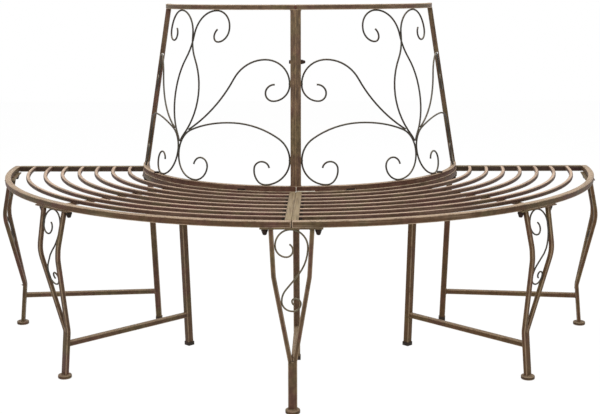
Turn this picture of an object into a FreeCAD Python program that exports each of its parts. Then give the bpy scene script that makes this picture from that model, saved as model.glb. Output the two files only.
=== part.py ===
import FreeCAD, Part
import math
import os

Vec = FreeCAD.Vector

# A half-round bench that stands against a tree trunk. Its seat is two quarter rings, left and
# right, bolted together on the centre line, and each carries a curved back panel of scrollwork.
# Sizes are in millimetres. The trunk's axis is the centre of every curve, the seat bulges to -Y
# and the floor is z = 0. Azimuth 0 is the right end of the seat, 90 its front, 180 its left end.
# When all pieces are made they are moved together, so that the origin is the middle of the
# bench's footprint.

# Seat
seat_height = 434.0
seat_radius = 800.0
trunk_radius = 419.7
frame_tube = 15.0
slat_bar = 10.0
slat_count = 7
outer_slat_gap = 51.7
rim_end_gap = 1.0
support_thick = 5.0
support_azimuth = 45.0

# Back panels, which lean in towards the trunk
back_height = 881.0
back_tube = 12.7
back_tuck = 72.7
back_bolt_drop = 137.0
back_bolt = 8.0
seam_bolt = 6.0
seam_bolt_head = 10.0
seam_bolt_head_height = 3.6
hold_down_azimuth = 30.0
hold_down_bolt = 6.0
hold_down_head = 16.0
hold_down_head_height = 3.5
hold_down_nut = 11.5
hold_down_nut_height = 5.0
hold_down_thread = 8.0
drain_azimuth = 72.0
drain_length = 23.0
drain_height = 2.5
drain_depth = 4.0

# Scrollwork in the back panels. The middle of the pattern lies nearer to the end of the bench
# than the middle of the panel, by this much at the foot and at the top.
rod = 4.0
pattern_foot_shift = 14.0
pattern_top_shift = -2.0
chord_turn = 24.0
chord_bow = 1.0

# Front legs: each is two bars that spread under the rim and meet above the floor
leg_azimuths = {"right_end": 6.7, "right_front": 44.7, "front": 90.0, "left_front": 135.3,
                "left_end": 173.3}
leg_bar = 10.0
leg_top_inset = 9.3
leg_top_spread = 44.3
leg_knee_height = 315.0
leg_knee_out = 20.8
leg_knee_spread = 38.3
leg_knee_bend = 110.0
leg_ankle_height = 114.0
leg_ankle_in = 20.1
leg_ankle_bend = 35.0
leg_foot_in = 8.9
leg_rod = 3.6
glide_diameter = 33.0
glide_height = 9.0
glide_chamfer = 3.0

# Plates, studs and cap nuts that hold the legs to the rims
plate_thick = 3.0
leg_plate_length = 136.0
leg_plate_width = 25.0
leg_plate_inset = 12.0
leg_stud_inset = 13.0
leg_stud_spread = 57.5
inner_plate_length = 64.0
inner_plate_width = 28.0
inner_plate_step = 2.9
inner_stud_spread = 20.0
stud = 8.0
stud_thread = 6.0
nut_flats = 13.0
nut_hex_height = 6.5
nut_height = 15.0
nut_end_wall = 2.0
nut_dome_chamfer = 3.0

# Inner legs, and the stretchers that tie them to the front legs
inner_leg_tube = 16.0
inner_leg_top_step = 1.7
inner_leg_tuck = 15.1
inner_cap_wall = 1.2
inner_cap_height = 10.0
stretcher_height = 83.0
stretcher_tube = 13.0

# Fits
thread_clearance = 0.1
hole_clearance = 0.5
weld_gap = 0.05

# Small pieces and slats are faceted. Numbers of sides and of chords in a quarter ring.
glide_sides = 20
bolt_sides = 6
rod_sides = 4
slat_chords = 20

rim_radius = seat_radius - frame_tube / 2
inner_rim_radius = trunk_radius + frame_tube / 2
slat_pitch = (rim_radius - inner_rim_radius - outer_slat_gap) / slat_count
rim_low = seat_height - frame_tube
slat_low = seat_height - slat_bar
plate_low = rim_low - plate_thick
foot_rail_high = seat_height + back_tube
top_rail_low = back_height - back_tube
back_foot_radius = inner_rim_radius
back_top_radius = back_foot_radius - back_tuck
leg_top_radius = seat_radius - leg_top_inset
leg_plate_radius = seat_radius - leg_plate_inset
leg_stud_radius = seat_radius - leg_stud_inset
leg_knee_radius = leg_top_radius + leg_knee_out
leg_ankle_radius = leg_top_radius - leg_ankle_in
leg_foot_radius = leg_top_radius - leg_foot_in
inner_plate_radius = trunk_radius + inner_plate_step
inner_leg_top_radius = trunk_radius - inner_leg_top_step
inner_leg_foot_radius = inner_leg_top_radius - inner_leg_tuck
back_bolt_height = back_height - back_bolt_drop
far = 2 * seat_radius


def at(radius, azimuth, z):
    turn = math.radians(azimuth)
    return Vec(radius * math.cos(turn), -radius * math.sin(turn), z)


def box(low, high):
    size = high - low
    return Part.makeBox(size.x, size.y, size.z, low)


def turned(shape, azimuth):
    """Turn a piece made at the front, azimuth 90, to its own azimuth."""
    copy = shape.copy()
    copy.rotate(Vec(0, 0, 0), Vec(0, 0, 1), 90 - azimuth)
    return copy


def mirrored(shape):
    return shape.mirror(Vec(0, 0, 0), Vec(1, 0, 0))


def outline(points):
    return Part.Face(Part.makePolygon(points + points[:1]))


def ring_of_points(centre, way, radius, sides):
    """Corners of a regular polygon square to a direction."""
    way = Vec(way).normalize()
    across = Vec(0, 0, 1).cross(way)
    if across.Length < 0.1:
        across = Vec(1, 0, 0)
    across.normalize()
    upward = way.cross(across)
    points = []
    for i in range(sides):
        angle = 2 * math.pi * (i + 0.5) / sides
        points.append(centre + (across * math.cos(angle) + upward * math.sin(angle)) * radius)
    return points


def prism(start, end, radius, sides):
    """A straight faceted bar from start to end."""
    return outline(ring_of_points(start, end - start, radius, sides)).extrude(end - start)


# Seat frame and slats

def quarter_ring(centre_radius, width, low, high, end_line=0.0, seam_line=0.0):
    """A square bar bent round the trunk, cut along the end line and the seam line."""
    outer = Part.makeCylinder(centre_radius + width / 2, high - low, Vec(0, 0, low))
    inner = Part.makeCylinder(centre_radius - width / 2, high - low, Vec(0, 0, low))
    window = box(Vec(seam_line, -far, low - 1), Vec(far, -end_line, high + 1))
    return outer.cut(inner).common(window)


def chord_ring(centre_radius, width, low, high, end_line, seam_line, chords):
    """A quarter ring made of straight chords, which take far fewer faces."""
    outer = []
    inner = []
    for i in range(chords + 1):
        azimuth = 90.0 * i / chords
        outer.append(at(centre_radius + width / 2, azimuth, low))
        inner.append(at(centre_radius - width / 2, azimuth, low))
    window = box(Vec(seam_line, -far, low - 1), Vec(far, -end_line, high + 1))
    ring = outline(outer + inner[::-1]).extrude(Vec(0, 0, high - low))
    return ring.common(window)


def between_rims(bar):
    """Trim a straight bar to the space from the inner rim to the outer rim."""
    depth = seat_height
    outer = Part.makeCylinder(seat_radius - frame_tube, depth)
    inner = Part.makeCylinder(trunk_radius + frame_tube, depth)
    return bar.common(outer.cut(inner))


def seat_pieces():
    pieces = {}
    pieces["seat_outer_rim"] = quarter_ring(rim_radius, frame_tube, rim_low, seat_height,
                                            seam_line=rim_end_gap)
    inner_rim = quarter_ring(inner_rim_radius, frame_tube, rim_low, seat_height,
                             seam_line=rim_end_gap)
    drilled = prism(hold_down_point(rim_low - 1), hold_down_point(seat_height + 1),
                    (hold_down_bolt + hole_clearance) / 2, bolt_sides)
    pieces["seat_inner_rim"] = inner_rim.cut(drilled)
    end_bar = box(Vec(0, -frame_tube, rim_low), Vec(far, 0, seat_height))
    pieces["seat_end_bar"] = between_rims(end_bar)
    seam_bar = box(Vec(0, -far, rim_low), Vec(frame_tube, 0, seat_height))
    pieces["seat_seam_bar"] = between_rims(seam_bar)

    support = box(Vec(-frame_tube / 2, -far, slat_low - support_thick),
                  Vec(frame_tube / 2, 0, slat_low))
    pieces["seat_support_bar"] = between_rims(turned(support, support_azimuth))

    for number in range(slat_count):
        radius = inner_rim_radius + slat_pitch * (slat_count - number)
        pieces["slat_%d" % (number + 1)] = chord_ring(radius, slat_bar, slat_low, seat_height,
                                                      frame_tube, frame_tube, slat_chords)
    return pieces


# Back panel frames

rail_spacing = (top_rail_low - seat_height)
back_lean = (back_foot_radius - back_top_radius) / rail_spacing


def back_radius(z):
    """Centre radius of the leaning back at a height."""
    return back_foot_radius - back_lean * (z - seat_height - back_tube / 2)


def hold_down_point(z):
    return at(inner_rim_radius, hold_down_azimuth, z)


def back_upright():
    """One leaning upright along the end line, from the foot rail to the top rail."""
    half = back_tube / 2
    low = back_radius(foot_rail_high)
    high = back_radius(top_rail_low)
    side = outline([Vec(low - half, 0, foot_rail_high), Vec(low + half, 0, foot_rail_high),
                    Vec(high + half, 0, top_rail_low), Vec(high - half, 0, top_rail_low)])
    return side.extrude(Vec(0, -back_tube, 0))


def back_pieces():
    pieces = {}
    drilled = prism(hold_down_point(rim_low - 1), hold_down_point(foot_rail_high + 1),
                    (hold_down_bolt + hole_clearance) / 2, bolt_sides)
    front_face = back_foot_radius + back_tube / 2
    drain = box(Vec(-drain_length / 2, -front_face - drain_depth, seat_height - 1),
                Vec(drain_length / 2, -front_face + drain_depth, seat_height + drain_height))
    foot_rail = quarter_ring(back_foot_radius, back_tube, seat_height, foot_rail_high)
    pieces["back_foot_rail"] = foot_rail.cut(drilled).cut(turned(drain, drain_azimuth))
    pieces["back_top_rail"] = quarter_ring(back_top_radius, back_tube, top_rail_low, back_height)

    start = Vec(back_radius(back_bolt_height), 1, back_bolt_height)
    hole = Part.makeCylinder((back_bolt + hole_clearance) / 2, back_tube + 2, start,
                             Vec(0, -1, 0))
    pieces["back_end_upright"] = back_upright().cut(hole)

    seam_upright = back_upright()
    seam_upright.rotate(Vec(0, 0, 0), Vec(0, 0, 1), -90)
    seam_upright.translate(Vec(back_tube, 0, 0))
    hole = prism(seam_point(-1), seam_point(back_tube + 1), (seam_bolt + hole_clearance) / 2,
                 bolt_sides)
    pieces["back_seam_upright"] = seam_upright.cut(hole)
    return pieces


def cap_nut(place, way, thread):
    """A hexagon with a domed cap, bored for a stud. Other sizes of thread are in proportion."""
    share = thread / stud
    shoulder = place + way * (nut_hex_height * share)
    end = place + way * (nut_height * share)
    hexagon = prism(place, shoulder, nut_flats / math.sqrt(3) * share, bolt_sides)
    dome = prism(shoulder, end, nut_flats / 2 * share, bolt_sides)
    rounded = [edge for edge in dome.Edges if abs((edge.CenterOfMass - end).dot(way)) < 0.01]
    dome = dome.makeChamfer(nut_dome_chamfer * share, rounded)
    bore = prism(place - way, end - way * nut_end_wall, thread / 2 + thread_clearance, bolt_sides)
    return hexagon.fuse(dome).cut(bore)


def seam_point(out):
    """A point on the line of the bolt that joins the back panels, this far to the right."""
    return at(back_radius(back_bolt_height), 90, back_bolt_height) + Vec(out, 0, 0)


def back_fasteners():
    """The bolt that joins the two back panels, and the bolts and nuts down to the seat."""
    left = seam_point(-back_tube)
    head = prism(left, seam_point(-back_tube - seam_bolt_head_height), seam_bolt_head / 2,
                 bolt_sides)
    shank = prism(left, seam_point(back_tube + stud_thread), seam_bolt / 2, bolt_sides)

    top = hold_down_point(foot_rail_high)
    low = hold_down_point(rim_low)
    up = Vec(0, 0, 1)
    bolt = prism(top, top + up * hold_down_head_height, hold_down_head / 2, bolt_sides)
    bolt = bolt.fuse(prism(low - up * hold_down_thread, top, hold_down_bolt / 2, bolt_sides))
    nut = prism(low, low - up * hold_down_nut_height, hold_down_nut / 2, bolt_sides)
    nut = nut.cut(prism(low + up, low - up * hold_down_thread,
                        hold_down_bolt / 2 + thread_clearance, bolt_sides))
    return {
        "back_seam_bolt": head.fuse(shank),
        "hold_down_bolts": Part.Compound([bolt, mirrored(bolt)]),
        "hold_down_nuts": Part.Compound([nut, mirrored(nut)]),
    }


# Rods bent as a chain of arcs, drawn flat and then laid on a curved surface

def run_arc(u, v, heading, radius, turn):
    """End point of an arc. A turn of 0 is a straight run as long as the radius."""
    if turn == 0:
        angle = math.radians(heading)
        return u + radius * math.cos(angle), v + radius * math.sin(angle)
    side = math.copysign(radius, turn)
    start = math.radians(heading)
    end = math.radians(heading + turn)
    return (u + side * (math.sin(end) - math.sin(start)),
            v - side * (math.cos(end) - math.cos(start)))


def chain_end(start, arcs):
    u, v, heading = start
    for radius, turn in arcs:
        u, v = run_arc(u, v, heading, radius, turn)
        heading += turn
    return u, v


def fitted(start, arcs, loose, miss):
    """The chain with one radius set so that its end meets a line, where miss(u, v) is 0."""
    def tried(radius):
        return arcs[:loose] + [(radius, arcs[loose][1])] + arcs[loose + 1:]
    base = 100.0
    at_zero = miss(*chain_end(start, tried(0)))
    at_base = miss(*chain_end(start, tried(base)))
    return tried(base * at_zero / (at_zero - at_base))


def stations(start, arcs):
    """Points along a chain as (u, v, run). Each arc is cut into chords that bow by little."""
    u, v, heading = start
    run = 0.0
    found = [(u, v, run)]
    for radius, turn in arcs:
        step = 2 * math.degrees(math.acos(1 - min(1, chord_bow / radius)))
        count = max(1, math.ceil(abs(turn) / min(step, chord_turn)))
        length = radius * math.radians(abs(turn)) if turn else radius
        for _ in range(count):
            u, v = run_arc(u, v, heading, radius, turn / count)
            heading += turn / count
            run += length / count
            found.append((u, v, run))
    return found


def reverse(found):
    return [(u, v, -run) for u, v, run in reversed(found)]


def bent_rod(found, surface, diameter):
    """A faceted rod through the stations of a flat chain laid on a surface, mitred at each."""
    places = [surface(u, v, run) for u, v, run in found]
    ways = [(b - a).normalize() for a, b in zip(places, places[1:])]
    across = Vec(0, 0, 1).cross(ways[0])
    if across.Length < 0.1:
        across = Vec(1, 0, 0).cross(ways[0])
    across.normalize()
    upward = ways[0].cross(across)
    corners = []
    for i in range(rod_sides):
        angle = 2 * math.pi * i / rod_sides
        corners.append((upward * math.cos(angle) + across * math.sin(angle)) * (diameter / 2))

    sections = []
    for place, before, after in zip(places, ways[:1] + ways, ways + ways[-1:]):
        mitre = (before + after).normalize()
        corners = [c - before * (c.dot(mitre) / before.dot(mitre)) for c in corners]
        points = [place + c for c in corners]
        sections.append(Part.makePolygon(points + points[:1]))
        corners = [c - after * c.dot(after) for c in corners]
    return Part.makeLoft(sections, True, True)


# Scrollwork of a back panel. The pattern is drawn for a panel whose rods' centre lines have this
# much room: half its width at the foot and at the top, and its height. v is 0 where a rod lies on
# the foot rail, and u is 0 where the two middle rods touch each other. Laying it on the panel
# stretches it to the panel's own room, so every radius below is one of the drawing's.

drawing = {"foot_half": 310.8, "top_half": 261.7, "height": 415.2, "stem": 67.1, "fan": 58.9}
drawn_taper = (drawing["foot_half"] - drawing["top_half"]) / drawing["height"]
drawn_lean = math.degrees(math.atan(drawn_taper))


def panel_surface(mid_azimuth, side, lift):
    """Lay the pattern on the leaning back. Lift is how far a rod ends up in front of the rest."""
    low = foot_rail_high + rod / 2
    high = top_rail_low - rod / 2

    def place(u, v, run):
        z = low + v * (high - low) / drawing["height"]
        radius = back_radius(z)
        rise = (v / drawing["height"]) ** 2
        shift = pattern_foot_shift + rise * (pattern_top_shift - pattern_foot_shift)
        half = radius * (math.pi / 4 - math.asin((back_tube + rod / 2) / radius)) + side * shift
        share = (half - rod / 2) / (drawing["foot_half"] - drawn_taper * v)
        azimuth = mid_azimuth + math.degrees((side * (rod / 2 + u * share) - shift) / radius)
        ramp = min(1.0, max(0.0, run / lift_run))
        return at(radius + lift * ramp * ramp * (3 - 2 * ramp), azimuth, z)
    return place


lift_run = 230.0


def past_upright(u, v):
    return u + drawn_taper * v - drawing["foot_half"]


def past_top_rail(u, v):
    return v - drawing["height"]


def fan_scroll():
    """The low scroll: a wide fan that ends in a curl on the foot rail, and a small curl below."""
    start = (0.0, drawing["stem"], 90.0)
    side_turn = 90 - drawn_lean - 34.1
    up = [(drawing["fan"], -67.4), (313.9, -22.6), (206.5, -34.1), (72.0, -side_turn)]
    up = fitted(start, up, 3, past_upright)
    up.append((up[3][0], -drawn_lean))
    up.append((chain_end(start, up)[1], -90))
    up += [(25.0, -45), (45.0, -45), (16.0, -90), (20.0, -75)]
    down = [(drawing["stem"], 90), (33.3, 90), (22.6, 90), (19.6, 85)]
    below = stations((0.0, drawing["stem"], -90.0), down)
    return reverse(below)[:-1] + stations(start, up)


def beside_fan(turn):
    """A point and heading on the line of a rod that lies against the fan scroll's stem."""
    radius = drawing["fan"] + rod
    angle = math.radians(turn)
    return (drawing["fan"] - radius * math.cos(angle), drawing["stem"] + radius * math.sin(angle),
            90.0 - turn)


def side_scroll():
    """The middle scroll: it leaves the fan's stem and curls over against the upright."""
    start = beside_fan(60.0)
    arcs = [(282.0, 36), (81.0, -66), (65.0, -(90 - drawn_lean))]
    arcs = fitted(start, arcs, 0, past_upright)
    arcs += [(65.0, -drawn_lean), (33.8, -90), (21.1, -90), (18.3, -94)]
    return stations(start, arcs)


def top_scroll():
    """The tall scroll: it crosses its mirror image and curls under the top rail."""
    start = beside_fan(21.0)
    arcs = [(drawing["fan"] + rod, -19), (154.0, 75), (120.0, -30), (67.0, 85)]
    arcs = fitted(start, arcs, 1, past_top_rail)
    arcs += [(48.0, 90), (28.0, 90), (15.0, 90), (20.0, 50)]
    return stations(start, arcs)


def scroll_pair(found, lift=0.0):
    """A scroll and its mirror image in the right-hand panel."""
    mid_azimuth = 45.0
    return [bent_rod(found, panel_surface(mid_azimuth, side, side * lift), rod)
            for side in (1, -1)]


# Front legs, made at the front and turned to their places

def tangent_arc(start, corner, end):
    """The arc that leaves start towards the corner and comes from it into end."""
    half = (end - start).Length / 2
    centre = (start + end) / 2
    rise = (corner - centre).Length
    swing = math.atan2(rise, half)
    middle = centre + (corner - centre) * (half * math.tan(swing / 2) / rise)
    return Part.Arc(start, middle, end).toShape()


def bent_bar(points, bends, along, width, depth):
    """A flat bar swept along a polyline with rounded corners. Its width lies on the given way."""
    edges = []
    here = points[0]
    for i in range(1, len(points) - 1):
        into = (points[i] - points[i - 1]).normalize()
        out = (points[i + 1] - points[i]).normalize()
        tangent = bends[i - 1] * math.tan(into.getAngle(out) / 2)
        first = points[i] - into * tangent
        last = points[i] + out * tangent
        edges.append(Part.LineSegment(here, first).toShape())
        edges.append(tangent_arc(first, points[i], last))
        here = last
    edges.append(Part.LineSegment(here, points[-1]).toShape())
    way = (points[1] - points[0]).normalize()
    across = along * (width / 2)
    thick = along.cross(way) * (depth / 2)
    corners = [points[0] + across + thick, points[0] - across + thick,
               points[0] - across - thick, points[0] + across - thick]
    profile = Part.makePolygon(corners + corners[:1])
    return Part.Wire(edges).makePipeShell([profile], True, False)


def leg_bars():
    """Two bars: the side view and the front view of the leg meet in each of them."""
    reach = 2 * leg_top_spread + 4 * leg_bar
    side_points = [Vec(0, -leg_top_radius, plate_low), Vec(0, -leg_knee_radius, leg_knee_height),
                   Vec(0, -leg_ankle_radius, leg_ankle_height), Vec(0, -leg_foot_radius, 0)]
    side = bent_bar(side_points, [leg_knee_bend, leg_ankle_bend], Vec(1, 0, 0), reach, leg_bar)

    knee_half = leg_bar / 2 / math.cos(math.radians(lower_lean))
    front = [(leg_top_spread, plate_low), (leg_knee_spread, leg_knee_height),
             (leg_bar / 2, leg_ankle_height), (leg_bar / 2, 0)]
    right = [Vec(u + knee_half, 0, z) for u, z in front[:2]]
    right += [Vec(u + leg_bar / 2, 0, z) for u, z in front[2:]]
    left = [Vec(u - knee_half, 0, z) for u, z in front[:2]]
    left += [Vec(u - leg_bar / 2, 0, z) for u, z in front[2:]]
    band = outline(right + left[::-1]).extrude(Vec(0, -far, 0))
    window = box(Vec(-reach, -far, glide_height), Vec(reach, 0, plate_low))
    bar = side.common(band).common(window).Solids[0]
    return bar, mirrored(bar)


upper_lean = math.degrees(math.atan((leg_top_spread - leg_knee_spread)
                                    / (plate_low - leg_knee_height)))
lower_lean = math.degrees(math.atan((leg_knee_spread - leg_bar / 2)
                                    / (leg_knee_height - leg_ankle_height)))


def leg_radius(z):
    """Radius of the plane of the front leg's bars at a height above the ankle."""
    if z > leg_knee_height:
        share = (z - leg_knee_height) / (plate_low - leg_knee_height)
        return leg_knee_radius + share * (leg_top_radius - leg_knee_radius)
    share = (z - leg_ankle_height) / (leg_knee_height - leg_ankle_height)
    return leg_ankle_radius + share * (leg_knee_radius - leg_ankle_radius)


def between_bars(z):
    """Half the room for a rod's centre line between the two bars at a height."""
    if z > leg_knee_height:
        share = (z - leg_knee_height) / (plate_low - leg_knee_height)
        spread = leg_knee_spread + share * (leg_top_spread - leg_knee_spread)
    else:
        share = (z - leg_ankle_height) / (leg_knee_height - leg_ankle_height)
        spread = leg_bar / 2 + share * (leg_knee_spread - leg_bar / 2)
    return spread - (leg_bar + leg_rod) / 2 / math.cos(math.radians(lower_lean)) - weld_gap


def leg_scroll():
    """One S-shaped rod: a large curl under the plate, a small one lower down."""
    top = plate_low - leg_rod / 2 - weld_gap

    def place(u, v, run):
        z = top + v
        return Vec(u, -leg_radius(z), z)

    over = [(37.0, -90), (90.0, -upper_lean)]
    reach, drop = chain_end((0.0, 0.0, 0.0), over)
    start_u = between_bars(top + drop) - reach
    def past_left_bar(u, v):
        return u + between_bars(top + v)

    back = fitted((start_u, 0.0, 180.0), [(34.0, 90 + upper_lean)], 0, past_left_bar)
    back += [(24.0, 90 - upper_lean), (14.0, 90), (15.0, 60)]
    upper = stations((start_u, 0.0, 180.0), back)
    down = over + [(90.0, upper_lean - 38), (47.0, 0), (45.0, 38), (23.0, lower_lean)]
    down = fitted((start_u, 0.0, 0.0), down, 3, past_left_bar)
    down += [(23.0, 90 - lower_lean), (18.0, 90), (12.0, 90), (7.0, 90), (9.0, 60)]
    found = reverse(upper)[:-1] + stations((start_u, 0.0, 0.0), down)
    return bent_rod(found, place, leg_rod)


def rim_stud(place):
    """A stud welded under a rim, long enough to pass the plate and fill its nut's thread."""
    return prism(place + Vec(0, 0, plate_thick), place - Vec(0, 0, stud_thread), stud / 2,
                 bolt_sides)


def plate(centre_radius, width, length, stud_radius, stud_spread):
    """A flat plate under a rim, made at the front, with a hole for each of its two studs."""
    made = box(Vec(-length / 2, -centre_radius - width / 2, plate_low),
               Vec(length / 2, -centre_radius + width / 2, rim_low))
    for shift in (-stud_spread, stud_spread):
        made = made.cut(prism(Vec(shift, -stud_radius, plate_low - 1),
                              Vec(shift, -stud_radius, rim_low + 1),
                              (stud + hole_clearance) / 2, bolt_sides))
    return made


def inner_leg():
    half = inner_leg_tube / 2
    foot = inner_leg_foot_radius
    lean = (inner_leg_top_radius - foot) / seat_height
    high = foot + lean * plate_low
    low = foot + lean * inner_cap_wall
    side = outline([Vec(-half, -low + half, inner_cap_wall), Vec(-half, -low - half, inner_cap_wall),
                    Vec(-half, -high - half, plate_low), Vec(-half, -high + half, plate_low)])
    return side.extrude(Vec(inner_leg_tube, 0, 0))


def inner_cap():
    """A plastic cap over the foot of an inner leg."""
    half = inner_leg_tube / 2 + inner_cap_wall
    foot = inner_leg_foot_radius
    block = box(Vec(-half, -foot - half, 0), Vec(half, -foot + half, inner_cap_height))
    return block.cut(inner_leg())


def foot_glide():
    """A round foot under the joined bars, with a sloping upper edge."""
    foot = Vec(0, -leg_foot_radius, 0)
    glide = prism(foot, foot + Vec(0, 0, glide_height), glide_diameter / 2, glide_sides)
    upper = [edge for edge in glide.Edges if edge.CenterOfMass.z > glide_height - 0.01]
    return glide.makeChamfer(glide_chamfer, upper)


def stretcher(bars):
    """A square bar from the joined bars of a front leg to its inner leg."""
    share = stretcher_height / leg_ankle_height
    post_radius = leg_foot_radius + share * (leg_ankle_radius - leg_foot_radius)
    half = stretcher_tube / 2
    bar = box(Vec(-half, -post_radius, stretcher_height - half),
              Vec(half, -inner_leg_foot_radius, stretcher_height + half))
    return bar.cut(inner_leg()).cut(bars[0]).cut(bars[1])


def leg_pieces():
    pieces = {}
    bars = leg_bars()
    stud_places = [Vec(side * spread, -radius, plate_low) for side in (-1, 1)
                   for spread, radius in ((leg_stud_spread, leg_stud_radius),
                                          (inner_stud_spread, inner_rim_radius))]
    single = {
        "front_leg": Part.Compound(list(bars)),
        "inner_leg": inner_leg(),
        "stretcher": stretcher(bars),
    }
    grouped = {
        "leg_plates": [plate(leg_plate_radius, leg_plate_width, leg_plate_length,
                             leg_stud_radius, leg_stud_spread)],
        "inner_leg_plates": [plate(inner_plate_radius, inner_plate_width, inner_plate_length,
                                   inner_rim_radius, inner_stud_spread)],
        "leg_scrolls": [leg_scroll()],
        "foot_glides": [foot_glide()],
        "inner_leg_caps": [inner_cap()],
        "rim_studs": [rim_stud(place) for place in stud_places],
        "cap_nuts": [cap_nut(place, Vec(0, 0, -1), stud) for place in stud_places],
    }
    for name, azimuth in leg_azimuths.items():
        for kind, shape in single.items():
            pieces["%s_%s" % (kind, name)] = turned(shape, azimuth)
    for kind, shapes in grouped.items():
        copies = [turned(shape, azimuth) for azimuth in leg_azimuths.values() for shape in shapes]
        pieces[kind] = Part.Compound(copies)
    pieces["cap_nuts"].add(cap_nut(seam_point(back_tube), Vec(1, 0, 0), seam_bolt))
    return pieces


def build():
    pieces = {}
    for name, shape in {**seat_pieces(), **back_pieces()}.items():
        pieces[name + "_right"] = shape
        pieces[name + "_left"] = mirrored(shape)
    scrolls = {"back_fan_scrolls": scroll_pair(fan_scroll()),
               "back_side_scrolls": scroll_pair(side_scroll()),
               "back_top_scrolls": scroll_pair(top_scroll(), rod / 2)}
    for name, pair in scrolls.items():
        pieces[name] = Part.Compound(pair + [mirrored(shape) for shape in pair])
    pieces.update(back_fasteners())
    pieces.update(leg_pieces())
    return pieces


def footprint_middle(pieces):
    whole = Part.Compound(list(pieces.values())).BoundBox
    return Vec(whole.Center.x, whole.Center.y, 0)


def main():
    os.makedirs("parts", exist_ok=True)
    pieces = build()
    middle = footprint_middle(pieces)
    for name, shape in pieces.items():
        shape.translate(-middle)
        shape.exportStep("parts/%s.step" % name)
        print(name, len(shape.Solids), round(shape.Volume), shape.isValid())


if __name__ == "__main__":
    main()
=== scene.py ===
import math

import bpy
from mathutils import Matrix, Vector


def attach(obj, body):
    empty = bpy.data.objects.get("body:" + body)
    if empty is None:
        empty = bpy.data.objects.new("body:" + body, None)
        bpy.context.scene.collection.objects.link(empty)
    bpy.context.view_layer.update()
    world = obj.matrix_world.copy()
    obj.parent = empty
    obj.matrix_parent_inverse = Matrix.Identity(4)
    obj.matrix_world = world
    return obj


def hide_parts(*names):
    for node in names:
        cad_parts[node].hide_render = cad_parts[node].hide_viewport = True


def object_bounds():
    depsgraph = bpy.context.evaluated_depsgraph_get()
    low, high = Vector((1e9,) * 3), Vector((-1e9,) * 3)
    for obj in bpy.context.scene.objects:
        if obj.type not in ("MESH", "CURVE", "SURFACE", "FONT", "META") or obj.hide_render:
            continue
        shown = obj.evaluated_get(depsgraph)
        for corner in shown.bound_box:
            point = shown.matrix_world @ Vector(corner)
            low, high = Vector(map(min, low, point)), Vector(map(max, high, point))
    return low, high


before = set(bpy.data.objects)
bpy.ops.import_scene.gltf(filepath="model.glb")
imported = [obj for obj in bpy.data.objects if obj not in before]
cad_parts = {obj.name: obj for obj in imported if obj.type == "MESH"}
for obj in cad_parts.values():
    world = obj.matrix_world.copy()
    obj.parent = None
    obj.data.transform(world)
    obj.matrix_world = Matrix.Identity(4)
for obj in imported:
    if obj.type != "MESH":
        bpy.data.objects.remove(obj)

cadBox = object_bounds()
mm = 0.001
treeY = cadBox[1].y  # the trunk's axis stands on the line where the seat ends

# Lengths in the dictionaries are in millimetres and angles in degrees, unless a note says
# otherwise. Azimuth 0 is the right end of the seat, 90 its front and 180 its left end.


def at(radius, azimuth, z):
    # a place in metres, from a radius and a height in metres
    turn = math.radians(azimuth)
    return Vector((radius * math.cos(turn), treeY - radius * math.sin(turn), z))


# helpers for working as by hand

mergeWithin = 0.01  # corners nearer to each other than this become one
sharpAngle = 35     # edges that turn by more than this are rounded


def addObject(name, data):
    obj = bpy.data.objects.new(name, data)
    bpy.context.scene.collection.objects.link(obj)
    return obj


def deselectAll():
    if bpy.context.object and bpy.context.object.mode != "OBJECT":
        bpy.ops.object.mode_set(mode="OBJECT")
    bpy.ops.object.select_all(action="DESELECT")


def pick(*objects):
    deselectAll()
    for thing in objects:
        thing.select_set(True)
    bpy.context.view_layer.objects.active = objects[0]


def openMesh(obj, mode="FACE"):
    pick(obj)
    bpy.ops.object.mode_set(mode="EDIT")
    bpy.ops.mesh.select_mode(type=mode)


def selectAll():
    bpy.ops.mesh.select_all(action="SELECT")


def closeMesh():
    bpy.ops.object.mode_set(mode="OBJECT")


def newPiece():
    # the primitive just added, with its place put into its mesh
    obj = bpy.context.object
    pick(obj)
    bpy.ops.object.transform_apply(location=True, rotation=True, scale=True)
    return obj


def markFaces(obj, test):
    # the faces of rounded corners carry the mark "corner", where the paint is worn and a
    # painted edge highlight lies
    marks = obj.data.attributes.get("corner")
    if marks is None:
        marks = obj.data.attributes.new("corner", "FLOAT", "FACE")
    for face, mark in zip(obj.data.polygons, marks.data):
        if test(face):
            mark.value = 1.0
        face.material_index = 0


def roundEdges(obj, width, segments=3):
    # the bevel gives its new faces a second material, so that they can be marked
    while len(obj.data.materials) < 2:
        obj.data.materials.append(None)
    pick(obj)
    bevel = obj.modifiers.new("Bevel", "BEVEL")
    bevel.width = width
    bevel.segments = segments
    bevel.limit_method = "ANGLE"
    bevel.angle_limit = math.radians(sharpAngle)
    bevel.harden_normals = False
    bevel.material = 1
    bpy.ops.object.modifier_apply(modifier=bevel.name)
    markFaces(obj, lambda face: face.material_index == 1)


def faceOutwards(obj):
    openMesh(obj)
    selectAll()
    bpy.ops.mesh.remove_doubles(threshold=mergeWithin * mm)
    bpy.ops.mesh.normals_make_consistent(inside=False)
    closeMesh()


def joined(objects):
    pick(*objects)
    if len(objects) > 1:
        bpy.ops.object.join()
    return bpy.context.object


def copyOf(obj, matrix):
    twin = addObject(obj.name + "Copy", obj.data.copy())
    twin.data.transform(matrix)
    if matrix.determinant() < 0:
        twin.data.flip_normals()
    return twin


def mirroredCopy(obj):
    return copyOf(obj, Matrix.Scale(-1, 4, (1, 0, 0)))


def turnedTo(azimuth):
    # moves a piece made at the front of the trunk, azimuth 90, to its own azimuth
    tree = Vector((0, treeY, 0))
    turn = Matrix.Rotation(math.radians(90 - azimuth), 4, "Z")
    return Matrix.Translation(tree) @ turn @ Matrix.Translation(-tree)


def onLine(z, lowZ, highZ, lowValue, highValue):
    share = (z - lowZ) / (highZ - lowZ)
    return lowValue + share * (highValue - lowValue)


def leanOf(aside, height):
    return math.degrees(math.atan(aside / height))


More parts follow.
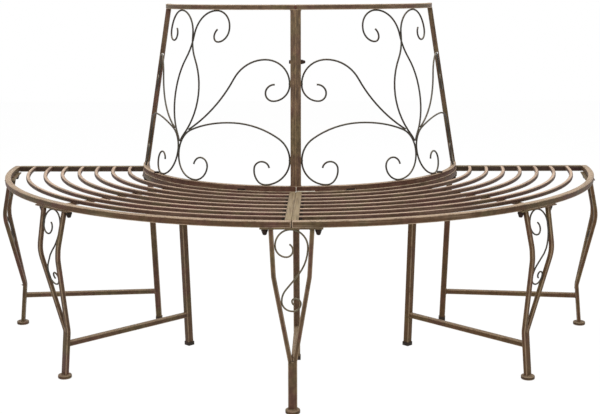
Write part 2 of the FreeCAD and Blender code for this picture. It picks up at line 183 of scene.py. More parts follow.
def pieceName(node):
    words = node.split("_")
    return words[0] + "".join(word.title() for word in words[1:])


def finishPiece(obj, name, material, nodes=(), angle=40):
    obj.name = name
    obj.data.name = name
    obj.data.materials.clear()
    obj.data.materials.append(material)
    pick(obj)
    bpy.ops.object.shade_smooth_by_angle(angle=math.radians(angle))
    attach(obj, "root")
    if nodes:
        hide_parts(*nodes)


# shader nodes: every helper takes sockets or plain values as its sources


def addNode(tree, kind, **values):
    node = tree.nodes.new(kind)
    for key, value in values.items():
        setattr(node, key, value)
    return node


def feed(tree, source, socket):
    if isinstance(source, bpy.types.NodeSocket):
        tree.links.new(source, socket)
    else:
        socket.default_value = source


def mixColors(tree, factor, first, second):
    node = addNode(tree, "ShaderNodeMix", data_type="RGBA")
    for label, source in (("Factor", factor), ("A", first), ("B", second)):
        feed(tree, source, [s for s in node.inputs if s.name == label and s.enabled][0])
    return [s for s in node.outputs if s.enabled][0]


def ramp(tree, source, low, high, lowValue=0.0, highValue=1.0):
    node = addNode(tree, "ShaderNodeMapRange", clamp=True, interpolation_type="SMOOTHSTEP")
    for label, value in (("Value", source), ("From Min", low), ("From Max", high),
                         ("To Min", lowValue), ("To Max", highValue)):
        feed(tree, value, node.inputs[label])
    return node.outputs["Result"]


def calculate(tree, operation, *sources):
    node = addNode(tree, "ShaderNodeMath", operation=operation)
    for source, socket in zip(sources, node.inputs):
        feed(tree, source, socket)
    return node.outputs[0]


def vectorMath(tree, operation, first, second):
    node = addNode(tree, "ShaderNodeVectorMath", operation=operation)
    feed(tree, first, node.inputs[0])
    feed(tree, second, node.inputs["Scale" if operation == "SCALE" else 1])
    return node.outputs[0]


def split(tree, vector):
    node = addNode(tree, "ShaderNodeSeparateXYZ")
    feed(tree, vector, node.inputs[0])
    return node.outputs


def noise(tree, vector, scale, detail, roughness):
    node = addNode(tree, "ShaderNodeTexNoise")
    for label, source in (("Vector", vector), ("Scale", scale), ("Detail", detail),
                          ("Roughness", roughness)):
        feed(tree, source, node.inputs[label])
    return node.outputs["Fac"]


def newGroup(name, inputs, outputs):
    group = bpy.data.node_groups.new(name, "ShaderNodeTree")
    for direction, sockets in (("INPUT", inputs), ("OUTPUT", outputs)):
        for label, kind in sockets.items():
            group.interface.new_socket(name=label, in_out=direction,
                                       socket_type="NodeSocket" + kind)
    return group, addNode(group, "NodeGroupInput"), addNode(group, "NodeGroupOutput")


# The marks that all the paints share. A noise has its marks per metre, detail and roughness.
# A ramp has the value at which a mark starts and the one at which it is full, and after them
# its own two ends, where these aren't 0 and 1.
paintMarks = {
    "reddishNoise": (1.0, 3.0, 0.55), "reddish": (0.47, 0.64),
    "oliveNoise": (1.3, 3.0, 0.55), "olive": (0.48, 0.66), "oliveShift": (7.3, 2.1, 5.7),
    "grainNoise": (420.0, 3.0, 0.6), "grainShare": 0.5,
    "blotchNoise": (80.0, 4.0, 0.65), "blotch": (0.34, 0.64, 0.8, 1.16),
    "rough": (0.3, 0.7, 0.46, 0.62), "paleRougher": 0.08,
    "ringScale": (190.0, 5.0, 190.0), "streakNoise": (1.0, 5.0, 0.6),
    "darkStreak": (0.5, 0.34), "darkColor": (0.03, 0.02, 0.014, 1),
    "paleStreak": (0.52, 0.72), "brushStreak": (0.34, 0.58, 0.5, 1.0), "brushAndSheenFull": 0.97,
    "wearNoise": (33.0, 5.0, 0.7), "wear": (0.32, 0.56, 0.3, 1.0),
}


def makeAntiqueGroup():
    # brown paint with wiped patches of another tone, a pale tone on the tops that is dry
    # brushing in part and a painted highlight in part, and worn edges that carry a painted
    # edge highlight too
    group, start, end = newGroup("antiqueBrush", {
        "Base": "Color", "Reddish": "Color", "Olive": "Color", "Dry Brush And Sheen": "Color",
        "Patch Size": "Float", "Brush And Sheen Amount": "Float", "Edge Wear And Highlight": "Float",
        "Streak Scale": "Vector", "Ring Share": "Float", "Streak Amount": "Float",
        "Brush And Sheen Reach": "Float",
    }, {"Color": "Color", "Roughness": "Float", "Height": "Float"})
    given = start.outputs
    place = addNode(group, "ShaderNodeTexCoord").outputs["Object"]

    patches = vectorMath(group, "SCALE", place, given["Patch Size"])
    shifted = vectorMath(group, "ADD", patches, paintMarks["oliveShift"])
    red = ramp(group, noise(group, patches, *paintMarks["reddishNoise"]),
               *paintMarks["reddish"])
    olive = ramp(group, noise(group, shifted, *paintMarks["oliveNoise"]),
                 *paintMarks["olive"])
    color = mixColors(group, red, given["Base"], given["Reddish"])
    color = mixColors(group, olive, color, given["Olive"])

    grain = noise(group, place, *paintMarks["grainNoise"])
    blotch = noise(group, place, *paintMarks["blotchNoise"])
    color = vectorMath(group, "SCALE", color, ramp(group, blotch, *paintMarks["blotch"]))

    # streaks run along the piece: round the tree on rings, straight on bars and uprights
    straight = vectorMath(group, "MULTIPLY", place, given["Streak Scale"])
    spot = split(group, place)
    ahead = calculate(group, "SUBTRACT", treeY, spot["Y"])
    aside = spot["X"]
    radius = calculate(group, "SQRT", calculate(
        group, "ADD", calculate(group, "MULTIPLY", ahead, ahead),
        calculate(group, "MULTIPLY", aside, aside)))
    around = calculate(group, "ARCTAN2", ahead, aside)
    ring = addNode(group, "ShaderNodeCombineXYZ")
    for source, scale, socket in zip((radius, around, spot["Z"]), paintMarks["ringScale"],
                                     ring.inputs):
        feed(group, calculate(group, "MULTIPLY", source, scale), socket)
    field = mixColors(group, given["Ring Share"], straight, ring.outputs[0])
    lines = noise(group, field, *paintMarks["streakNoise"])
    dark = calculate(group, "MULTIPLY", ramp(group, lines, *paintMarks["darkStreak"]),
                     given["Streak Amount"])
    color = mixColors(group, dark, color, paintMarks["darkColor"])

    # the pale tone lies on faces that look up, in streaks: dry brushing in part, and in part
    # a painted highlight for the sheen of light on the tops
    normal = addNode(group, "ShaderNodeNewGeometry").outputs["Normal"]
    up = ramp(group, split(group, normal)["Z"], given["Brush And Sheen Reach"], paintMarks["brushAndSheenFull"])
    brushAndSheen = calculate(group, "MULTIPLY", up, ramp(group, lines, *paintMarks["brushStreak"]))
    brushAndSheen = calculate(group, "MULTIPLY", brushAndSheen, given["Brush And Sheen Amount"])

    # the rounded corners are worn to the paler tone, here more and there less, which is also
    # a painted highlight along the edges
    corner = addNode(group, "ShaderNodeAttribute", attribute_name="corner").outputs["Fac"]
    rubbed = ramp(group, noise(group, place, *paintMarks["wearNoise"]), *paintMarks["wear"])
    wearAndHighlight = calculate(group, "MULTIPLY", corner, rubbed)
    wearAndHighlight = calculate(group, "MULTIPLY", wearAndHighlight, given["Edge Wear And Highlight"])
    light = calculate(group, "MULTIPLY", ramp(group, lines, *paintMarks["paleStreak"]),
                      given["Streak Amount"])
    pale = calculate(group, "MAXIMUM", calculate(group, "MAXIMUM", brushAndSheen, wearAndHighlight), light)
    color = mixColors(group, pale, color, given["Dry Brush And Sheen"])

    rough = calculate(group, "ADD", ramp(group, blotch, *paintMarks["rough"]),
                      calculate(group, "MULTIPLY", pale, paintMarks["paleRougher"]))
    grain = calculate(group, "MULTIPLY", grain, paintMarks["grainShare"])
    height = calculate(group, "ADD", grain, blotch)
    for label, source in (("Color", color), ("Roughness", rough), ("Height", height)):
        feed(group, source, end.inputs[label])
    return group


antiqueBrush = makeAntiqueGroup()
looks = {}


def antiquePaint(name, like, changes):
    # a paint is like another one, apart from the values that it changes
    look = {**looks.get(like, {}), **changes}
    looks[name] = look
    material = bpy.data.materials.new(name)
    material.use_nodes = True
    tree = material.node_tree
    shader = tree.nodes["Principled BSDF"]
    brush = addNode(tree, "ShaderNodeGroup", node_tree=antiqueBrush)
    for socket in brush.inputs:
        value = look[socket.name]
        socket.default_value = (*value, 1) if socket.type == "RGBA" else value
    bump = addNode(tree, "ShaderNodeBump")
    for label, source in (("Strength", look["bump"]), ("Distance", look["bumpDepth"] * mm),
                          ("Height", brush.outputs["Height"])):
        feed(tree, source, bump.inputs[label])
    for label, source in (("Base Color", brush.outputs["Color"]),
                          ("Roughness", brush.outputs["Roughness"]),
                          ("Normal", bump.outputs["Normal"]), ("IOR", look["ior"]),
                          ("Specular IOR Level", look["specular"]),
                          ("Coat Weight", look["coat"]),
                          ("Coat Roughness", look["coatRoughness"])):
        feed(tree, source, shader.inputs[label])
    return material


# Patch Size and Streak Scale are marks per metre. Ring Share 1 bends the streaks round the
# tree. The reach is how far up a face has to look, as its normal's z, to take the pale tone
# at all; on the tops that tone is dry brushing in part and a painted highlight in part.
framePaint = antiquePaint("framePaint", None, {
    "Base": (0.114, 0.066, 0.038), "Reddish": (0.126, 0.06, 0.043),
    "Olive": (0.12, 0.084, 0.041), "Dry Brush And Sheen": (0.47, 0.345, 0.225), "Patch Size": 9.0,
    "Brush And Sheen Amount": 0.66, "Brush And Sheen Reach": 0.25, "Edge Wear And Highlight": 0.6,
    "Streak Scale": (170.0, 170.0, 9.0), "Streak Amount": 0.12, "Ring Share": 0.0,
    "bump": 0.25, "bumpDepth": 0.25, "ior": 1.3, "specular": 0.3, "coat": 0.02,
    "coatRoughness": 0.3,
})
rimPaint = antiquePaint("rimPaint", "framePaint", {
    "Base": (0.116, 0.063, 0.033), "Dry Brush And Sheen": (0.62, 0.465, 0.325), "Brush And Sheen Amount": 0.85,
    "Brush And Sheen Reach": 0.5, "Edge Wear And Highlight": 0.8, "Streak Amount": 0.2, "Ring Share": 1.0,
})
# full edges: worn paint, and a painted highlight along the joint of the foot rail and the
# inner rim
railPaint = antiquePaint("railPaint", "rimPaint", {
    "Base": (0.12, 0.057, 0.036), "Olive": (0.12, 0.068, 0.038), "Edge Wear And Highlight": 1.0,
})
topRailPaint = antiquePaint("topRailPaint", "rimPaint", {
    "Base": (0.15, 0.092, 0.056), "Reddish": (0.15, 0.078, 0.056),
    "Olive": (0.155, 0.11, 0.058), "Streak Amount": 0.25,
})
uprightPaint = antiquePaint("uprightPaint", "topRailPaint", {
    "Dry Brush And Sheen": (0.48, 0.33, 0.18), "Streak Scale": (210.0, 210.0, 7.0),
    "Streak Amount": 0.4, "Ring Share": 0.0,
})
seamBarPaint = antiquePaint("seamBarPaint", "framePaint", {
    "Dry Brush And Sheen": (0.43, 0.335, 0.205), "Brush And Sheen Amount": 0.8,
    "Streak Scale": (260.0, 10.0, 260.0), "Streak Amount": 0.5,
})
endBarPaint = antiquePaint("endBarPaint", "seamBarPaint", {
    "Base": (0.062, 0.036, 0.027), "Reddish": (0.068, 0.032, 0.03),
    "Olive": (0.064, 0.042, 0.025), "Edge Wear And Highlight": 0.45,
    "Streak Scale": (10.0, 260.0, 260.0), "Streak Amount": 0.15,
})
# full edges as on the foot rail: worn paint, and a painted highlight on the rim's top edge
innerRimPaint = antiquePaint("innerRimPaint", "rimPaint", {
    "Base": (0.1, 0.052, 0.034), "Dry Brush And Sheen": (0.62, 0.48, 0.34), "Edge Wear And Highlight": 1.0,
})
rightLegPaint = antiquePaint("rightLegPaint", "framePaint", {
    "Base": (0.124, 0.066, 0.03), "Reddish": (0.128, 0.06, 0.036),
    "Olive": (0.13, 0.083, 0.034),
})
frontLegPaint = antiquePaint("frontLegPaint", "framePaint", {
    "Base": (0.13, 0.08, 0.042), "Reddish": (0.128, 0.064, 0.043),
    "Olive": (0.15, 0.112, 0.05),
})
# on the slats the pale tone keeps to the crown of each top: dry brushing, and a painted
# highlight along the crown
slatPaint = antiquePaint("slatPaint", "framePaint", {
    "Base": (0.083, 0.041, 0.026), "Reddish": (0.098, 0.042, 0.032),
    "Olive": (0.092, 0.06, 0.031), "Dry Brush And Sheen": (0.71, 0.52, 0.38), "Patch Size": 12.0,
    "Brush And Sheen Amount": 1.0, "Brush And Sheen Reach": 0.64, "Edge Wear And Highlight": 0.1, "Streak Amount": 0.15,
    "Ring Share": 1.0,
})
# painted shade: a darker copy of the frame paint, as the plates lie in the shade under the
# seat
plateShadedPaint = antiquePaint("plateShadedPaint", "framePaint", {
    "Base": (0.09, 0.055, 0.032), "Dry Brush And Sheen": (0.46, 0.37, 0.2), "Patch Size": 20.0,
    "Brush And Sheen Amount": 0.25, "Edge Wear And Highlight": 0.5,
})
scrollPaint = antiquePaint("scrollPaint", "framePaint", {
    "Base": (0.062, 0.052, 0.041), "Reddish": (0.066, 0.047, 0.036),
    "Olive": (0.072, 0.07, 0.054), "Dry Brush And Sheen": (0.4, 0.34, 0.24), "Patch Size": 25.0,
    "Brush And Sheen Amount": 0.6, "Edge Wear And Highlight": 0.0,
})
nutPaint = antiquePaint("nutPaint", "framePaint", {
    "Base": (0.023, 0.0145, 0.009), "Reddish": (0.033, 0.016, 0.011),
    "Olive": (0.02, 0.0145, 0.008), "Dry Brush And Sheen": (0.09, 0.07, 0.055), "Patch Size": 60.0,
    "Brush And Sheen Amount": 0.2, "Edge Wear And Highlight": 0.3,
})
footPaint = antiquePaint("footPaint", "framePaint", {
    "Base": (0.085, 0.05, 0.028), "Patch Size": 40.0, "Brush And Sheen Amount": 0.6,
})
capPaint = antiquePaint("capPaint", "nutPaint", {
    "Base": (0.04, 0.028, 0.02), "Reddish": (0.05, 0.028, 0.022),
    "Olive": (0.035, 0.028, 0.018), "Dry Brush And Sheen": (0.16, 0.12, 0.09), "bump": 0.15,
})
# pale paint for the painted highlight on the edge at the seam
glintPaint = antiquePaint("glintPaint", "framePaint", {
    "Base": (0.9, 0.85, 0.74), "Reddish": (0.8, 0.68, 0.5), "Olive": (0.85, 0.8, 0.6),
    "Patch Size": 60.0, "Brush And Sheen Amount": 0.3, "Edge Wear And Highlight": 0.0,
})
# painted shade: a near-black paint for the dark slat ends, the drain slots' insides and the
# crease where the front leg's bars meet
shadePaint = antiquePaint("shadePaint", "framePaint", {
    "Base": (0.016, 0.01, 0.007), "Reddish": (0.024, 0.011, 0.008),
    "Olive": (0.016, 0.012, 0.006), "Patch Size": 60.0, "Brush And Sheen Amount": 0.0,
    "Edge Wear And Highlight": 0.0, "bump": 0.5,
})
seamWeldPaint = antiquePaint("seamWeldPaint", "shadePaint", {
    "Base": (0.105, 0.05, 0.032), "Reddish": (0.13, 0.05, 0.035),
    "Olive": (0.095, 0.05, 0.025),
})
frontScrollPaint = antiquePaint("frontScrollPaint", "scrollPaint", {
    "Base": (0.168, 0.135, 0.088), "Reddish": (0.16, 0.12, 0.08),
    "Olive": (0.16, 0.142, 0.088), "Dry Brush And Sheen": (0.5, 0.43, 0.31),
})
print("paints ready")


# the frame: each tube is the frame's own shape with its corners rounded

tubeShape = {"corner": 1.9, "barCorner": 1.9, "plateCorner": 0.7, "capCorner": 1.6,
             "flatWithin": 0.6}


def roundedTube(node, corner, paint, name=None):
    name = name or pieceName(node)
    tube = addObject(name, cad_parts[node].data.copy())
    openMesh(tube)
    bpy.ops.mesh.customdata_custom_splitnormals_clear()
    selectAll()
    bpy.ops.mesh.remove_doubles(threshold=mergeWithin * mm)
    bpy.ops.mesh.dissolve_limited(angle_limit=math.radians(tubeShape["flatWithin"]))
    closeMesh()
    roundEdges(tube, tubeShape[corner] * mm)
    finishPiece(tube, name, paint, [node])


sides = ("right", "left")
tubePaints = {"seat_outer_rim": rimPaint, "seat_inner_rim": innerRimPaint,
              "seat_end_bar": endBarPaint, "seat_seam_bar": seamBarPaint,
              "back_foot_rail": railPaint, "back_top_rail": topRailPaint,
              "back_end_upright": uprightPaint, "back_seam_upright": uprightPaint}
for kind, paint in tubePaints.items():
    for side in sides:
        roundedTube(kind + "_" + side, "corner", paint)
for side in sides:
    roundedTube("seat_support_bar_" + side, "plateCorner", framePaint,
                name="supportBar" + side.title())

legAzimuths = {"right_end": 6.7, "right_front": 44.7, "front": 90.0, "left_front": 135.3,
               "left_end": 173.3}
legPaints = {"right_end": rightLegPaint, "right_front": rightLegPaint, "front": frontLegPaint,
             "left_front": framePaint, "left_end": framePaint}
for place, paint in legPaints.items():
    roundedTube("front_leg_" + place, "barCorner", paint)
    roundedTube("inner_leg_" + place, "corner", framePaint if place == "front" else paint)
roundedTube("leg_plates", "plateCorner", plateShadedPaint)
roundedTube("inner_leg_plates", "plateCorner", plateShadedPaint)
roundedTube("inner_leg_caps", "capCorner", capPaint)
print("frame tubes ready")


# curved slats, each a rounded square spun round the tree

seat = {"height": 434.0, "radius": 800.0, "trunk": 419.7, "innerTop": 418.0, "tube": 15.0,
        "slat": 10.0, "corner": 3.0, "slats": 7, "outerGap": 51.7, "steps": 60,
        "cornerFaces": (0.2, 0.97)}  # between these two lies the z of their normals
innerRim = seat["trunk"] + seat["tube"] / 2
slatPitch = ((seat["radius"] - seat["tube"] / 2 - innerRim - seat["outerGap"])
             / seat["slats"])


def slatRadius(number):
    return innerRim + slatPitch * (seat["slats"] + 1 - number)


def spunSlat(radius):
    middle = seat["height"] - seat["slat"] / 2
    bpy.ops.mesh.primitive_plane_add(size=seat["slat"] * mm,
                                     location=at(radius * mm, 0, middle * mm),
                                     rotation=(math.pi / 2, 0, 0))
    slat = newPiece()
    openMesh(slat, "VERT")
    selectAll()
    bpy.ops.mesh.bevel(offset=seat["corner"] * mm, segments=3, affect="VERTICES")
    selectAll()
    bpy.ops.mesh.delete(type="ONLY_FACE")
    selectAll()
    bpy.ops.mesh.spin(steps=seat["steps"], angle=math.pi / 2, center=(0, treeY, 0),
                      axis=(0, 0, 1))
    # cut to the seam bar and to the end bar
    tube = seat["tube"] * mm
    for point, away in (((tube, 0, 0), (-1, 0, 0)), ((0, treeY - tube, 0), (0, 1, 0))):
        selectAll()
        bpy.ops.mesh.bisect(plane_co=point, plane_no=away, use_fill=True, clear_outer=True)
    closeMesh()
    faceOutwards(slat)
    least, most = seat["cornerFaces"]
    markFaces(slat, lambda face: least < abs(face.normal.z) < most)
    return slat


for number in range(1, seat["slats"] + 1):
    right = spunSlat(slatRadius(number))
    left = mirroredCopy(right)
    for slat, side in ((right, "right"), (left, "left")):
        finishPiece(slat, "slat%s%d" % (side.title(), number), slatPaint,
                    ["slat_%d_%s" % (number, side)])
print("slats ready")


# weld beads: one rough lump, copied to each place

lumpShape = {"waves": 2.3, "skew": (2.1, 1.7), "depth": 0.13}


def makeLump():
    bpy.ops.mesh.primitive_ico_sphere_add(subdivisions=3, radius=1.0)
    lump = bpy.context.object
    skewX, skewY = lumpShape["skew"]
    for point in lump.data.vertices:
        x, y, z = point.co * lumpShape["waves"]
        swell = math.sin(skewX * x + y) + math.sin(skewY * y - z) * math.sin(z + x)
        point.co *= 1 + lumpShape["depth"] * swell
    return lump


weldLump = makeLump()


def weldBead(place, size, azimuth=90.0):
    # size is across, front to back and height, as seen at the front
    matrix = (Matrix.Translation(place) @ Matrix.Rotation(math.radians(90 - azimuth), 4, "Z")
              @ Matrix.Diagonal((*[length / 2 * mm for length in size], 1)))
    return copyOf(weldLump, matrix)


def sideways(size):
    across, deep, high = size
    return deep, across, high


# weld beads at the slat ends by the seam and end bars, near-black: their dark is painted
# shade in the corners there
slatWeld = {"size": (9.0, 3.4, 5.5), "aside": 3.6, "low": 5.6}
beads = []
for number in range(seat["slats"], 0, -1):
    radius = (slatRadius(number) + seat["slat"] / 2) * mm
    height = (seat["height"] - slatWeld["low"]) * mm
    aside = (seat["tube"] + slatWeld["aside"]) * mm
    for way in (-1, 1):
        beads.append(weldBead(Vector((way * aside, treeY - radius, height)),
                              slatWeld["size"]))
        beads.append(weldBead(Vector((way * radius, treeY - aside, height)),
                              sideways(slatWeld["size"])))
finishPiece(joined(beads), "slatWelds", shadePaint)
print("slat welds ready")


# Scroll rods: chains of arcs, drawn flat and laid on the leaning back. An arc is a radius and
# a turn, and where the turn is 0, the first number is the length of a straight run.

back = {"height": 881.0, "tube": 12.7, "footRadius": 427.2, "topRadius": 354.5,
        "boltHeight": 744.0, "rod": 4.0, "drawnRod": 4.5, "lift": 2.0, "liftRun": 230.0,
        "footShift": 14.0, "topShift": -2.0}
drawing = {"footHalf": 310.8, "topHalf": 261.7, "height": 415.2, "stem": 67.1, "fan": 58.9}
taper = (drawing["footHalf"] - drawing["topHalf"]) / drawing["height"]
lean = math.degrees(math.atan(taper))
footRailTop = seat["height"] + back["tube"]
topRailLow = back["height"] - back["tube"]
rodStep = {"turn": 7.0, "run": 16.0}


def backRadius(z):
    half = back["tube"] / 2
    return onLine(z, seat["height"] + half, topRailLow + half, back["footRadius"],
                  back["topRadius"])


def runArc(u, v, heading, radius, turn):
    start = math.radians(heading)
    if turn == 0:
        return u + radius * math.cos(start), v + radius * math.sin(start)
    side = math.copysign(radius, turn)
    end = math.radians(heading + turn)
    return (u + side * (math.sin(end) - math.sin(start)),
            v - side * (math.cos(end) - math.cos(start)))


def chainEnd(start, arcs):
    u, v, heading = start
    for radius, turn in arcs:
        u, v = runArc(u, v, heading, radius, turn)
        heading += turn
    return u, v


def fitted(start, arcs, loose, miss):
    # one radius is set so that the chain's end meets a line
    def tried(radius):
        return arcs[:loose] + [(radius, arcs[loose][1])] + arcs[loose + 1:]
    trial = 100.0
    atZero = miss(*chainEnd(start, tried(0)))
    atTrial = miss(*chainEnd(start, tried(trial)))
    return tried(trial * atZero / (atZero - atTrial))


def stations(start, arcs):
    # points along the chain, each with the length run so far
    u, v, heading = start
    run = 0.0
    found = [(u, v, run)]
    for radius, turn in arcs:
        length = radius * math.radians(abs(turn)) if turn else radius
        count = max(1, math.ceil(abs(turn) / rodStep["turn"]),
                    math.ceil(length / rodStep["run"]))
        for _ in range(count):
            u, v = runArc(u, v, heading, radius if turn else radius / count, turn / count)
            heading += turn / count
            run += length / count
            found.append((u, v, run))
    return found


def reverse(found):
    return [(u, v, -run) for u, v, run in reversed(found)]


def panelPlace(side, lift):
    low = footRailTop + back["rod"] / 2
    high = topRailLow - back["rod"] / 2

    def place(u, v, run):
        z = low + v * (high - low) / drawing["height"]
        radius = backRadius(z)
        # the middle of the pattern leans over from the end of the bench towards the seam
        rise = (v / drawing["height"]) ** 2
        shift = back["footShift"] + rise * (back["topShift"] - back["footShift"])
        half = radius * (math.pi / 4 - math.asin((back["tube"] + back["rod"] / 2) / radius))
        share = (half + side * shift - back["rod"] / 2) / (drawing["footHalf"] - taper * v)
        around = side * (back["rod"] / 2 + u * share) - shift
        azimuth = 45.0 + math.degrees(around / radius)
        # the crossing rods are lifted a little in front of and behind each other
        along = min(1.0, max(0.0, run / back["liftRun"]))
        return at((radius + lift * along * along * (3 - 2 * along)) * mm, azimuth, z * mm)
    return place


def pastUpright(u, v):
    return u + taper * v - drawing["footHalf"]


def pastTopRail(u, v):
    return v - drawing["height"]


def fanScroll():
    start = (0.0, drawing["stem"], 90.0)
    bend = 34.1
    up = [(drawing["fan"], -67.4), (313.9, -22.6), (206.5, -bend), (72.0, bend + lean - 90)]
    up = fitted(start, up, 3, pastUpright)
    up.append((up[3][0], -lean))
    up.append((chainEnd(start, up)[1], -90))
    up += [(25.0, -45), (45.0, -45), (16.0, -90), (20.0, -75)]
    below = [(drawing["stem"], 90), (33.3, 90), (22.6, 90), (19.6, 85)]
    below = stations((0.0, drawing["stem"], -90.0), below)
    return reverse(below)[:-1] + stations(start, up)


def besideFan(turn):
    # where a rod starts that is welded to the fan's outside
    radius = drawing["fan"] + back["rod"]
    angle = math.radians(turn)
    return (drawing["fan"] - radius * math.cos(angle),
            drawing["stem"] + radius * math.sin(angle), 90.0 - turn)


def sideScroll():
    start = besideFan(60.0)
    arcs = fitted(start, [(282.0, 36), (81.0, -66), (65.0, -(90 - lean))], 0, pastUpright)
    arcs += [(65.0, -lean), (33.8, -90), (21.1, -90), (18.3, -94)]
    return stations(start, arcs)


def topScroll():
    start = besideFan(21.0)
    arcs = [(drawing["fan"] + back["rod"], -19), (154.0, 75), (120.0, -30), (67.0, 85)]
    arcs = fitted(start, arcs, 1, pastTopRail)
    arcs += [(48.0, 90), (28.0, 90), (15.0, 90), (20.0, 50)]
    return stations(start, arcs)


def rodAlong(points, diameter, name="rod", closed=False):
    # a round rod through the points, made as a bevelled curve and turned into a mesh
    curve = bpy.data.curves.new(name, "CURVE")
    curve.dimensions = "3D"
    curve.bevel_depth = diameter / 2
    curve.bevel_resolution = 3
    curve.use_fill_caps = True
    spline = curve.splines.new("POLY")
    spline.use_cyclic_u = closed
    spline.points.add(len(points) - 1)
    for point, place in zip(spline.points, points):
        point.co = (*place, 1)
    pick(addObject(name, curve))
    bpy.ops.object.convert(target="MESH")
    rod = bpy.context.object
    faceOutwards(rod)
    return rod


tackWelds = []
tack = {"size": (6.5, 4.6, 4.6), "near": 1.5}


def addTacks(found, place):
    # a tack weld sits where the rod comes nearest to a rail or upright
    for gap in (lambda u, v: v, lambda u, v: -pastTopRail(u, v),
                lambda u, v: -pastUpright(u, v)):
        gaps = [gap(u, v) for u, v, run in found]
        for i in range(1, len(gaps) - 1):
            if gaps[i] < tack["near"] and gaps[i - 1] > gaps[i] <= gaps[i + 1]:
                spot = place(*found[i])
                azimuth = math.degrees(math.atan2(treeY - spot.y, spot.x))
                bead = weldBead(spot, tack["size"], azimuth)
                tackWelds.extend([bead, mirroredCopy(bead)])


def scrollRods(found, lift):
    rods = []
    for side in (1, -1):
        place = panelPlace(side, side * lift)
        rod = rodAlong([place(*station) for station in found], back["drawnRod"] * mm)
        rods += [rod, mirroredCopy(rod)]
        addTacks(found, place)
    return joined(rods)


for kind, found, lift in (("fan", fanScroll(), 0.0), ("side", sideScroll(), 0.0),
                          ("top", topScroll(), back["lift"])):
    finishPiece(scrollRods(found, lift), kind + "Scrolls", scrollPaint,
                ["back_%s_scrolls" % kind])
finishPiece(joined(tackWelds), "scrollTacks", scrollPaint)
print("back scrolls ready")


# scroll rods of the front legs

leg = {"bar": 10.0, "topRadius": 790.7, "topSpread": 44.3, "kneeHeight": 315.0,
       "kneeRadius": 811.5, "kneeSpread": 38.3, "ankleHeight": 114.0, "ankleRadius": 770.6,
       "footRadius": 781.8, "rod": 3.6, "drawnRod": 4.0, "plate": 3.0, "weldGap": 0.05,
       "inner": 16.0, "studRadius": 787.0}
plateLow = seat["height"] - seat["tube"] - leg["plate"]
upperLean = leanOf(leg["topSpread"] - leg["kneeSpread"], plateLow - leg["kneeHeight"])
lowerLean = leanOf(leg["kneeSpread"] - leg["bar"] / 2, leg["kneeHeight"] - leg["ankleHeight"])


def legRadius(z):
    if z > leg["kneeHeight"]:
        return onLine(z, leg["kneeHeight"], plateLow, leg["kneeRadius"], leg["topRadius"])
    return onLine(z, leg["ankleHeight"], leg["kneeHeight"], leg["ankleRadius"],
                  leg["kneeRadius"])


def betweenBars(z):
    # how far from the leg's middle the rod's own middle lies where it touches a bar
    if z > leg["kneeHeight"]:
        spread = onLine(z, leg["kneeHeight"], plateLow, leg["kneeSpread"], leg["topSpread"])
    else:
        spread = onLine(z, leg["ankleHeight"], leg["kneeHeight"], leg["bar"] / 2,
                        leg["kneeSpread"])
    touch = (leg["bar"] + leg["rod"]) / 2 / math.cos(math.radians(lowerLean))
    return spread - touch - leg["weldGap"]


def legScroll():
    top = plateLow - leg["rod"] / 2 - leg["weldGap"]

    def place(station):
        z = top + station[1]
        return at(legRadius(z) * mm, 90, z * mm) + Vector((station[0] * mm, 0, 0))

    def pastLeftBar(u, v):
        return u + betweenBars(top + v)

    over = [(37.0, -90), (90.0, -upperLean)]
    reach, drop = chainEnd((0.0, 0.0, 0.0), over)
    startU = betweenBars(top + drop) - reach
    behind = fitted((startU, 0.0, 180.0), [(34.0, 90 + upperLean)], 0, pastLeftBar)
    behind += [(24.0, 90 - upperLean), (14.0, 90), (15.0, 60)]
    upper = stations((startU, 0.0, 180.0), behind)
    down = over + [(90.0, upperLean - 38), (47.0, 0), (45.0, 38), (23.0, lowerLean)]
    down = fitted((startU, 0.0, 0.0), down, 3, pastLeftBar)
    down += [(23.0, 90 - lowerLean), (18.0, 90), (12.0, 90), (7.0, 90), (9.0, 60)]
    found = reverse(upper)[:-1] + stations((startU, 0.0, 0.0), down)
    return rodAlong([place(station) for station in found], leg["drawnRod"] * mm)


def atEachLeg(front, places=tuple(legAzimuths)):
    copies = [copyOf(front, turnedTo(legAzimuths[place])) for place in places]
    bpy.data.objects.remove(front)
    return joined(copies)


otherLegs = [place for place in legAzimuths if place != "front"]
finishPiece(atEachLeg(legScroll(), otherLegs), "legScrolls", scrollPaint,
            ["leg_scrolls"])
finishPiece(atEachLeg(legScroll(), ["front"]), "frontLegScroll", frontScrollPaint,
            ["leg_scrolls"])
print("leg scrolls ready")


# round feet

glide = {"radius": 16.5, "height": 9.0, "collar": 12.0, "step": 1.5, "corner": 2.2,
         "sides": 48, "looksUp": 0.9}  # the z of a normal over which a face looks up


def roundFoot():
    bpy.ops.mesh.primitive_cylinder_add(
        vertices=glide["sides"], radius=glide["radius"] * mm, depth=glide["height"] * mm,
        location=at(leg["footRadius"] * mm, 90, glide["height"] / 2 * mm))
    foot = newPiece()
    openMesh(foot)
    bpy.ops.mesh.select_all(action="DESELECT")
    closeMesh()
    for face in foot.data.polygons:
        face.select = face.normal.z > glide["looksUp"]
    openMesh(foot)
    # two flat insets, with no step, draw a collar round the joined bars
    bpy.ops.mesh.inset(thickness=(glide["radius"] - glide["collar"]) * mm, depth=0)
    bpy.ops.mesh.inset(thickness=glide["step"] * mm, depth=0)
    closeMesh()
    roundEdges(foot, glide["corner"] * mm, 4)
    return foot


finishPiece(atEachLeg(roundFoot()), "footGlides", footPaint, ["foot_glides"], 50)
print("feet ready")


# stretchers: square tubes with a weld at each end

stretcher = {"height": 83.0, "tube": 13.0, "corner": 2.2, "weld": 1.3, "weldPower": 5,
             "weldSteps": 6, "innerFoot": 402.9, "overlap": 1.0}


